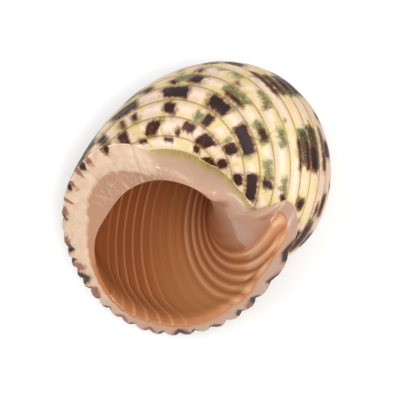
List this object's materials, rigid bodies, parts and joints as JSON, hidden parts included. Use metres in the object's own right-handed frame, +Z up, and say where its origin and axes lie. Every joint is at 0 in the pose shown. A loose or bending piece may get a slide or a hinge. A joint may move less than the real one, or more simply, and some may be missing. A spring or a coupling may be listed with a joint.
{
  "type": "turban shell",
  "caption": "Rounded sea snail shell with corded whorls, a wide round mouth, a scalloped outer lip and a smooth inner lip; lies mouth up.",
  "frame": {"origin": "centre of the bounding box in X and Y, at the surface the shell lies on", "axes": "+Z up, the mouth faces up and leans to -X and -Y; +X along the longest extent, with the spire at +X, -Y towards the viewer of the picture"},
  "size_m": [0.0588, 0.052, 0.035],
  "materials": {
    "shell": "semi-gloss natural shell, cream and olive outside with dark brown checks on the cords, orange-brown glaze inside"
  },
  "bodies": {
    "root": {"shell": "shell"}
  },
  "joints": []
}
